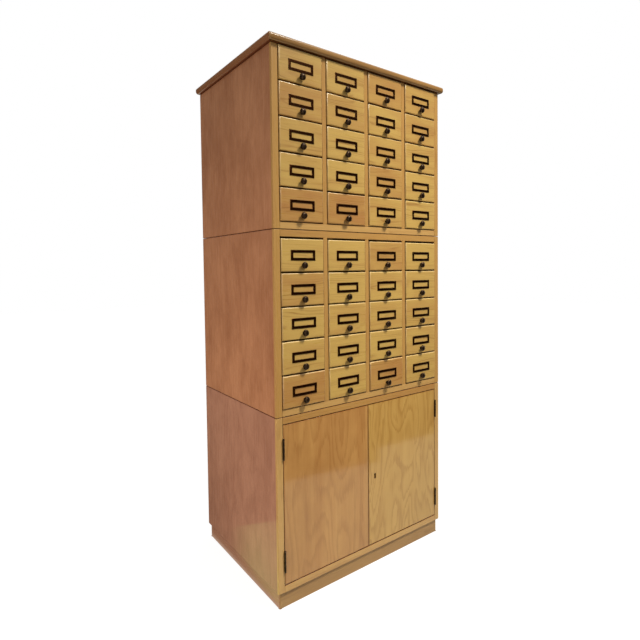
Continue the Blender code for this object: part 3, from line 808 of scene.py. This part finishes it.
def make_top_board():
    """The top: a middle board between mitred lippings, rounded over at the front and ends."""
    low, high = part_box("top_board")
    whole = start("top_whole", low, high)
    bevel(whole, lambda a, b: upright(a, b) and a.y < 0, TOP_CORNER, 6)
    rear = high.y - 0.001
    for level in (high.z, low.z):
        rim = in_plane(2, level)
        bevel(whole, lambda a, b, rim=rim: rim(a, b) and min(a.y, b.y) < rear, TOP_ROUND, 8)
    finish_mesh(whole)
    right = (high.x - TOP_LIPPING, low.y + TOP_LIPPING, 0)
    left = (-right[0], right[1], 0)
    cuts = {
        "front_lipping": ((right, (0, 1, 0)), (right, (1, 1, 0)), (left, (-1, 1, 0))),
        "left_lipping": ((left, (1, 0, 0)), (left, (1, -1, 0))),
        "right_lipping": ((right, (-1, 0, 0)), (right, (-1, -1, 0))),
        "middle": ((right, (1, 0, 0)), (left, (-1, 0, 0)), (right, (0, -1, 0))),
    }
    parts = {name: sliced(whole, "top_" + name, planes) for name, planes in cuts.items()}
    put_away(whole)
    # Painted shade, with some dust, over the whole underside, under the overhang
    under = ((2, -1, THIN_DUST_AND_SHADE),)
    wooden(parts["middle"], "beech_edge", EDGE_BEECH, 0, 2, dust_and_shade_sides=under, nodes=("top_board",))
    wooden(parts["front_lipping"], "beech_edge", TOP_BEECH, 0, 2, dust_and_shade_sides=under)
    for name in ("left_lipping", "right_lipping"):
        wooden(parts[name], "beech_edge", END_BEECH, 1, 2, dust_and_shade_sides=under)


def make_plinth():
    """The plinth: four rails mitred round an open middle, rounded at the corners."""
    low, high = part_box("plinth")
    ring = start("plinth_ring", low, high)
    bevel(ring, upright, PLINTH_CORNER, 6)
    inset(ring, lambda middle, normal: abs(normal.z) > 0.9, PLINTH_RAIL)
    bpy.ops.mesh.bridge_edge_loops()
    bevel(ring, lambda a, b: near(a.z, b.z), RAIL_ARRIS)
    turn_outward()
    finish_mesh(ring)
    front_left, front_right = (-high.x, low.y, 0), (high.x, low.y, 0)
    back_left, back_right = (-high.x, high.y, 0), (high.x, high.y, 0)
    mitres = {
        "front": ((front_left, (-1, 1, 0)), (front_right, (1, 1, 0))),
        "back": ((back_left, (-1, -1, 0)), (back_right, (1, -1, 0))),
        "left": ((front_left, (1, -1, 0)), (back_left, (1, 1, 0))),
        "right": ((front_right, (-1, -1, 0)), (back_right, (-1, 1, 0))),
    }
    # Painted contact shadow, with some dust, along the foot of each rail
    dust_and_shade_sides = ((2, -1, WIDE_DUST_AND_SHADE),)
    for side, planes in mitres.items():
        rail = sliced(ring, f"plinth_{side}_rail", planes)
        nodes = ("plinth",) if side == "front" else ()
        along = 0 if side in ("front", "back") else 1
        beech = (PLINTH_BEECH, PLINTH_END_BEECH)[along]
        wooden(rail, "beech_edge", beech, along, 1 - along, dust_and_shade_sides=dust_and_shade_sides, nodes=nodes)
    put_away(ring)


def model_front():
    half = FRONT_WIDTH / 2 - FRONT_PLAY.x
    low = (-half, -FRONT_PROUD, FRONT_PLAY.z)
    piece = start("front", low, (half, FRONT_BACK, FRONT_HEIGHT - FRONT_PLAY.z))
    bevel(piece, in_plane(1, -FRONT_PROUD), FRONT_ROUND, 6)
    bevel(piece, in_plane(1, FRONT_BACK), ARRIS, 1)
    band_faces(piece, 1)
    return finish_mesh(piece)


def model_box():
    """The box behind a front: two grooved sides and a lower back, glued and pinned."""
    half = FRONT_WIDTH / 2
    inner = half - DRAWER_WALL
    rim = DRAWER_FOOT + DRAWER_SIDE_HEIGHT
    walls = []
    for hand in (-1, 1):
        first = (hand * inner, FRONT_BACK, DRAWER_FOOT)
        wall = planed("wall", first, (hand * half, DRAWER_END, rim))
        first = (hand * (half - GROOVE_DEPTH), FRONT_BACK - ARRIS, RUNNER_Z - GROOVE_SLACK)
        top = RUNNER_Z + RUNNER_HEIGHT + FIT
        carve(wall, block("groove", first, (hand * (half + ARRIS), DRAWER_END + ARRIS, top)))
        walls.append(wall)
    low = (-inner, DRAWER_END - DRAWER_WALL, DRAWER_FOOT + DRAWER_FLOOR)
    walls.append(planed("tail", low, (inner, DRAWER_END, rim - BACK_DROP)))
    return join("box", walls)


def model_floor():
    inner = FRONT_WIDTH / 2 - DRAWER_WALL
    low = (-inner, FRONT_BACK, DRAWER_FOOT)
    return planed("floor", low, (inner, DRAWER_END, DRAWER_FOOT + DRAWER_FLOOR), THIN_ARRIS)


def model_label_frame():
    """An open pressed frame with sloping outer edges, held by a pin at each end."""
    middle = FRONT_HEIGHT / 2
    low = Vector((-LABEL_HALF.x, -FRONT_PROUD - LABEL_THICKNESS, middle - LABEL_HALF.z))
    high = Vector((LABEL_HALF.x, -FRONT_PROUD + 0.0002, middle + LABEL_HALF.z))
    piece = start("label_frame", low, high)
    bevel(piece, in_plane(1, low.y), LABEL_SLOPE)
    inset(piece, lambda centre, normal: normal.y > 0.9, LABEL_BORDER)
    inset(piece, lambda centre, normal: normal.y < -0.99, LABEL_BORDER - LABEL_SLOPE)

    def in_window(centre, normal):
        return abs(normal.y) > 0.99 and near(centre.x, 0) and near(centre.z, middle)

    pick(piece, "FACE", in_window)
    bpy.ops.mesh.bridge_edge_loops()

    def on_inner_rim(point):
        across, upward = abs(point.x) - LABEL_HALF.x, abs(point.z - middle) - LABEL_HALF.z
        return max(across, upward) + LABEL_BORDER < 0.0001 and near(point.y, low.y)

    bevel(piece, lambda a, b: on_inner_rim(a) and on_inner_rim(b), ARRIS)
    turn_outward()
    finish_mesh(piece)
    stations = ((-0.0004, LABEL_PIN), (0.0002, LABEL_PIN), (0.0006, LABEL_PIN * 0.6))
    parts = [piece]
    for reach in (-LABEL_HALF.x + LABEL_BORDER / 2, LABEL_HALF.x - LABEL_BORDER / 2):
        parts.append(turned("pin", (reach, low.y, middle), (0, -1, 0), stations, PIN_SIDES))
    return join("label_frame", parts)


def model_knob():
    """A turned brass knob: rounded foot, waisted stem and a domed head, and its screw behind."""
    height = FRONT_HEIGHT / 2 - KNOB_DROP
    stations = (
        (-0.0004, 0.0055), (0.0005, 0.0058), (0.0010, 0.0056), (0.0014, 0.0046),
        (0.0022, 0.0038), (0.0036, 0.0035), (0.0046, 0.0039), (0.0055, 0.0058),
        (0.0061, 0.0082), (0.0070, 0.0096), (0.0086, 0.0102), (0.0103, 0.0100),
        (0.0120, 0.0091), (0.0134, 0.0075), (0.0144, 0.0052), (0.0149, 0.0026),
        (0.0150, 0.0006),
    )
    knob = turned("knob", (0, -FRONT_PROUD, height), (0, -1, 0), stations, KNOB_SIDES)
    stations = ((-0.0004, 0.0038), (0.0006, 0.0038), (0.0014, 0.0030), (0.0018, 0.0014))
    screw = turned("screw", (0, FRONT_BACK, height), (0, 1, 0), stations, SCREW_SIDES)
    low = (-0.0042, FRONT_BACK + 0.0010, height - 0.0005)
    carve(screw, block("slot", low, (0.0042, 0.02, height + 0.0005)))
    return join("knob", [knob, screw])


# Dust and painted shade on the four narrow faces of a front: its sides, its foot and its head
ROUND_ABOUT = tuple((axis, way, THIN_DUST_AND_SHADE) for axis in (0, 2) for way in (-1, 1))
# Fronts cut from browner boards and from streaky ones, as bank, row and column
BROWN_FRONTS = {
    "upper 1 3", "upper 1 4", "upper 2 1", "upper 4 3", "upper 5 1", "upper 5 2",
    "middle 5 1", "middle 5 3",
}
STREAKY_FRONTS = {
    "upper 1 1", "upper 2 4", "middle 1 3", "middle 2 1", "middle 3 2", "middle 3 3",
    "middle 3 4",
}


def make_drawers():
    """Models each part of a drawer once and copies it to the forty places."""
    masters = {
        "front": (model_front(), "drawer_beech", FRONT_BEECH),
        "box": (model_box(), "drawer_beech", INNER_BEECH),
        "floor": (model_floor(), "drawer_beech", BACK_BIRCH),
        "label_frame": (model_label_frame(), "dark_metal", BLACK_BRASS),
        "knob": (model_knob(), "dark_metal", DARK_BRASS),
    }
    places = product(("upper", "middle"), range(1, ROWS + 1), range(1, COLUMNS + 1))
    for unit, row, column in places:
        where = f"{unit} {row} {column}"
        draw = random.Random(where)
        node = f"{unit}_drawer_r{row}_c{column}"
        push = Vector((0, draw.uniform(0, SLIP_BACK), 0))
        lift = (draw.uniform(-SLIP_SIDE, SLIP_SIDE), 0, draw.uniform(-SLIP_LEVEL, SLIP_LEVEL))
        foot = unit_span(unit)[0] - FIT + row_foot(row)
        behind = Vector((bay_middle(column), FRONT, foot)) + push
        tone = draw.uniform(-0.05, 0.4)
        tone -= 0.55 if where in BROWN_FRONTS else 0.25 if where in STREAKY_FRONTS else 0
        for part, (master, slot, material) in masters.items():
            shift = behind if part in ("box", "floor") else behind + Vector(lift)
            piece = copy_of(master, f"{node}_{part}", shift)
            if part == "front":
                # The front's narrow faces take dust and painted shade, and its top rim a painted
                # highlight
                lay_grain(piece, 0, 1, tone, dust_and_shade_sides=ROUND_ABOUT, worn_top=True)
            elif part == "box":
                lay_grain(piece, 1, 0)
            elif part == "floor":
                lay_grain(piece, 0, 2)
            fit(piece, slot, material, node, (node,) if part == "front" else ())
    for master, *_ in masters.values():
        put_away(master)


def model_leaf(name, axis, way, moving):
    """A plate behind the knuckles, with necks that reach forward to its own ones."""
    face = axis.x + way * LEAF_GAP
    far = face + way * LEAF
    first = (face, axis.y + BARREL + 0.0004, axis.z - HINGE_HALF)
    second = (far, axis.y + LEAF_WIDTH, axis.z + HINGE_HALF)
    parts = [planed("plate", first, second, 0.0002)]
    for lower, upper in ((-0.5, 0.5),) if moving else ((-1.5, -0.5), (0.5, 1.5)):
        foot = axis.z + lower * KNUCKLE + (KNUCKLE_GAP if lower > -1 else 0)
        top = axis.z + upper * KNUCKLE - (KNUCKLE_GAP if upper < 1 else 0)
        second = (far, axis.y + BARREL + 0.001, top)
        parts.append(planed("neck", (face, axis.y, foot), second, 0.0001))
        length, end = top - foot, BARREL - BARREL_END
        stations = ((0, end), (BARREL_END, BARREL), (length - BARREL_END, BARREL), (length, end))
        place = (axis.x, axis.y, foot)
        parts.append(turned("knuckle", place, (0, 0, 1), stations, BARREL_SIDES))
    for share in (-0.7, 0, 0.7):
        place = Vector((face, axis.y + LEAF_WIDTH * 0.62, axis.z + share * HINGE_HALF))
        turn = random.Random(f"{name} {moving} {share}").uniform(0, math.pi)
        parts.append(slotted_screw(place, (-way, 0, 0), LEAF_SCREW, turn))
    return join(f"{name}_{'door' if moving else 'fixed'}_leaf", parts)


def make_hinges():
    """Four butt hinges: a leaf on the cabinet, one on the door, knuckles and a pin."""
    for side, level in product(("left", "right"), ("upper", "lower")):
        hand = -1 if side == "left" else 1
        name = f"hinge_{side}_{level}"
        low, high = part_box(name)
        axis = Vector((hand * AXIS.x, AXIS.y, (low.z + high.z) / 2))
        fit(model_leaf(name, axis, hand, False), "dark_metal", DARK_BRASS, nodes=(name,))
        fit(model_leaf(name, axis, -hand, True), "dark_metal", DARK_BRASS, f"door_{side}")
        length, wide = 2 * HINGE_HALF, PIN * 1.3
        stations = ((-0.0001, PIN), (0, wide), (length, wide), (length + 0.0001, PIN))
        place = (axis.x, axis.y, axis.z - HINGE_HALF)
        pin = turned(name + "_pin", place, (0, 0, 1), stations, PIN_SIDES)
        fit(pin, "dark_metal", DARK_BRASS)


def key_place():
    """The middle of the keyhole, on the door's face."""
    low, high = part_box("lock_case")
    return Vector((MEETING_GAP / 2 + KEY_BACKSET, FRONT, (low.z + high.z) / 2 - KEY_DROP))


def keyhole_cutter(grow, depth):
    """A round hole over a slot, as a closed shape to cut with."""
    place = key_place()
    half = KEYHOLE_SLOT + grow
    radius = KEYHOLE_RADIUS + grow
    top = place.z + KEYHOLE_HALF - KEYHOLE_RADIUS
    low = (place.x - half, FRONT - 0.002, place.z - KEYHOLE_HALF - grow)
    outline = block("keyhole_slot", low, (place.x + half, FRONT + depth, top))
    stations = ((-depth, radius), (0.002, radius))
    place = (place.x, FRONT, top)
    carve(outline, turned("keyhole_round", place, (0, -1, 0), stations, KEYHOLE_SIDES), "UNION")
    return outline


def make_doors():
    """Two flush doors, with a seat for the lock and its keyhole in one, a mortise in the other."""
    case_low, case_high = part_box("lock_case")
    bolt_low, bolt_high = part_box("lock_bolt")
    foot, head = unit_span("base")
    foot += PANEL - FIT + DOOR_GAP + DOOR_PLAY
    head -= PANEL + DOOR_GAP + DOOR_PLAY
    rear = FRONT + DOOR_THICKNESS
    for side, hand, veneer in (("left", -1, LEFT_BIRCH), ("right", 1, RIGHT_BIRCH)):
        name = "door_" + side
        outer = (hand * (INNER_HALF - DOOR_GAP), rear, head)
        door = start(name + "_panel", (hand * MEETING_GAP / 2, FRONT, foot), outer)
        bevel(door, in_plane(1, FRONT), DOOR_ARRIS, 3)
        bevel(door, in_plane(1, rear), ARRIS)
        band_faces(door, 1)
        bpy.ops.object.mode_set(mode="OBJECT")
        if side == "right":
            low = case_low - Vector((OVERCUT, FIT, FIT))
            carve(door, block("seat", low, case_high + Vector((FIT, OVERCUT, FIT))))
            carve(door, keyhole_cutter(KEYHOLE_LINING, KEYHOLE_DEPTH))
        else:
            low = (-MEETING_GAP / 2 - BOLT_THROW, bolt_low.y - FIT, bolt_low.z - FIT)
            carve(door, block("mortise", low, (0, bolt_high.y + FIT, bolt_high.z + FIT)))
        at = (0.0, 0.0, 0.05) if side == "right" else (3.7, 0.02, 0.05)
        # Dust and painted shade on the door's edges by the gaps
        dust_and_shade_sides = (*ROUND_ABOUT[:3], (2, 1, WIDE_DUST_AND_SHADE))
        finish_mesh(door)
        wooden(door, "door_veneer", veneer, 2, 1, 0.0, at, dust_and_shade_sides, body=name, nodes=(name,))


def make_keyhole_lining():
    lining = keyhole_cutter(KEYHOLE_LINING, KEYHOLE_DEPTH - ARRIS)
    lining.name = lining.data.name = "keyhole_lining"
    carve(lining, keyhole_cutter(0, KEYHOLE_DEPTH + ARRIS))
    height = key_place().z
    low = (0, FRONT - OVERCUT, height - 0.02)
    carve(lining, block("trim", low, (0.06, FRONT + 0.0001, height + 0.02)))
    fit(lining, "dark_metal", BLACK_BRASS, "door_right")


def make_lock():
    """A cut-in cupboard lock: a steel case with a stepped cap, its bolt and its screws."""
    low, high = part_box("lock_case")
    case = start("lock_case_body", low, high)
    soften(case, 0.0004)
    inset(case, lambda middle, normal: normal.y > 0.999, 0.003)
    extrude((0, -CASE_STEP, 0))
    finish_mesh(case)
    bolt_low, bolt_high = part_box("lock_bolt")
    channel = (low.x - 0.01, bolt_low.y - FIT, bolt_low.z - FIT)
    carve(case, block("channel", channel, bolt_high + Vector((FIT, FIT, FIT))))
    carve(case, keyhole_cutter(0, KEYHOLE_DEPTH))
    parts = [case]
    screws = [(low[i] + CASE_SCREW_INSET, high[i] - CASE_SCREW_INSET) for i in (0, 2)]
    for x, z in product(*screws):
        turn = random.Random(f"lock {x:.3f} {z:.3f}").uniform(0, math.pi)
        place = Vector((x, high.y - CASE_STEP, z))
        parts.append(slotted_screw(place, (0, 1, 0), CASE_SCREW, turn))
    fit(join("lock_body", parts), "lock_steel", STEEL, "door_right", ("lock_case",))
    bolt = start("lock_bolt_bar", bolt_low, bolt_high)
    soften(bolt, THIN_ARRIS)
    fit(finish_mesh(bolt), "lock_steel", STEEL, "lock_bolt", ("lock_bolt",))


def background_factor(tree):
    """1 for what the camera sees, or sees in gloss or through glass."""
    camera, *others = (
        add_node(tree, "LightPath", output=f"Is {ray} Ray")
        for ray in ("Camera", "Glossy", "Transmission")
    )
    for other in others:
        camera = calculate(tree, "ADD", camera, other, use_clamp=True)
    return camera


def make_floor():
    bpy.ops.object.select_all(action="DESELECT")
    bpy.ops.mesh.primitive_plane_add(size=24, location=(0, 0, -0.0005))
    floor = bpy.context.active_object
    floor.name = "studio_floor"
    material, tree = new_material("white studio floor")
    seen = background_factor(tree)
    # What it throws back at the cabinet is weak, so that undersides stay dark
    pale = blend(tree, seen, (0.34, 0.32, 0.29, 1), (0.82, 0.80, 0.77, 1))
    matt = add_node(tree, "BsdfDiffuse", {"Color": pale})
    # In gloss it is warm, and to the camera it is white
    camera = add_node(tree, "LightPath", output="Is Camera Ray")
    white = blend(tree, camera, (1, 0.94, 0.74, 1), (1, 1, 1, 1))
    glow = add_node(tree, "Emission", {"Color": white, "Strength": 1.25})
    share = calculate(tree, "MULTIPLY", seen, 0.72)
    surface = add_node(tree, "MixShader", {0: share, 1: matt, 2: glow})
    add_node(tree, "OutputMaterial", {"Surface": surface})
    floor.data.materials.append(material)


def fade(tree, axis, start, end, low=0, high=1, kind="SMOOTHSTEP"):
    """A share that changes with the place along one axis."""
    place = add_node(tree, "TexCoord", output="Object")
    distance = add_node(tree, "SeparateXYZ", {0: place}, axis)
    return remap(tree, distance, start, end, low, high, interpolation_type=kind)


def make_flags():
    """Cards that only gloss sees.

    Dark ones keep the lacquer deep, and the floor lights it below them. A pale one throws a
    soft patch on the cupboard's side.
    """
    cards = {
        "left_door_flag": ((-0.10, -0.95, 0.0), (0.63, -0.93, 5.0), 0.185, "Z"),
        "right_door_flag": ((0.61, -0.94, 0.0), (2.60, -0.92, 5.0), 0.09, "Z"),
        "side_flag": ((-0.50, -0.60, 0.0), (-0.48, 1.60, 5.0), 0.0, "Z"),
        "floor_flag": ((-0.49, -0.80, 0.0), (-0.352, 1.0, 0.0004), 0.0, "Z"),
        "tan_card": ((-0.3705, -0.40, -0.13), (-0.3695, 0.10, 0.20), -0.465, "X"),
    }
    for name, (low, high, turn, axis) in cards.items():
        material, tree = new_material(name.replace("_", " "))
        glow = {"Color": linear(FLAG_BROWN)}
        if name == "floor_flag":
            # Its front end is pale too, for the plinth
            share = fade(tree, "Y", 0.05, -0.20)
            glow = {"Color": blend(tree, share, FLAG_BROWN, CARD_YELLOW)}
        if name == "tan_card":
            # It fades out towards the back and the top
            lower = fade(tree, "Z", 0.27, 0.02, 0.55, 1.3, "LINEAR")
            share = calculate(tree, "MULTIPLY", fade(tree, "Y", 0.15, -0.10), lower)
            glow = {"Color": linear(CARD_YELLOW), "Strength": share}
        glow = add_node(tree, "Emission", glow)
        add_node(tree, "OutputMaterial", {"Surface": glow})
        card = block(name, low, high)
        middle = (Vector(low) + Vector(high)) / 2
        about = Matrix.Translation(middle) @ Matrix.Rotation(turn, 4, axis)
        card.data.transform(about @ Matrix.Translation(-middle))
        if name == "tan_card":
            # Nothing of it stands before the fronts, where the doors would show it
            whole = card
            card = sliced(whole, name, (((0, FRONT + 0.004, 0), (0, -1, 0)),))
            put_away(whole)
        card.data.materials.append(material)
        for ray in ("camera", "diffuse", "shadow", "transmission"):
            setattr(card, "visible_" + ray, False)


def add_lamp(name, place, target, size, power, colour, spread):
    data = bpy.data.lights.new(name, "AREA")
    data.shape = "DISK"
    data.size = size
    data.energy = power
    data.color = linear(colour)[:3]
    data.spread = math.radians(spread)
    lamp = bpy.data.objects.new(name, data)
    lamp.location = place
    aim = Vector(target) - Vector(place)
    lamp.rotation_euler = aim.to_track_quat("-Z", "Y").to_euler()
    bpy.context.scene.collection.objects.link(lamp)


def light_studio():
    world = bpy.data.worlds.new("white studio")
    world.use_nodes = True
    tree = world.node_tree
    tree.nodes.clear()
    strength = remap(tree, background_factor(tree), 0, 1, 0.50, 1.0)
    sky = add_node(tree, "Background", {"Color": (1, 1, 1, 1), "Strength": strength})
    add_node(tree, "OutputWorld", {"Surface": sky})
    bpy.context.scene.world = world
    # A grid on the key keeps it off the top rows
    add_lamp("key", (0.8, -1.85, 3.6), (0, -0.2, 0.45), 0.6, 10.6, "#FFF6E4", 50)
    add_lamp("fill", (-1.6, -0.2, 0.55), (-0.35, 0, 0.5), 0.8, 8.5, "#FFE9D8", 180)


def set_camera():
    """The camera that was fitted to the photograph's edges and corners."""
    data = bpy.data.cameras.new("photograph")
    data.sensor_width = 36
    data.lens = 26.905
    data.shift_x = -0.0092
    data.shift_y = -0.0506
    camera = bpy.data.objects.new("photograph", data)
    yaw, pitch, roll = math.radians(36.72), math.radians(2.267), math.radians(-0.619)
    camera.matrix_world = (
        Matrix.Translation((-1.0404, -1.4125, 0.9937))
        @ Matrix.Rotation(-yaw, 4, "Z")
        @ Matrix.Rotation(math.pi / 2 - pitch, 4, "X")
        @ Matrix.Rotation(roll, 4, "Z")
    )
    bpy.context.scene.collection.objects.link(camera)
    bpy.context.scene.camera = camera
    bpy.context.scene.view_settings.view_transform = "Standard"


make_base()
make_bank("middle", True)
make_bank("upper", False)
make_top_board()
make_plinth()
make_drawers()
make_hinges()
make_doors()
make_keyhole_lining()
make_lock()
make_floor()
make_flags()
light_studio()
set_camera()
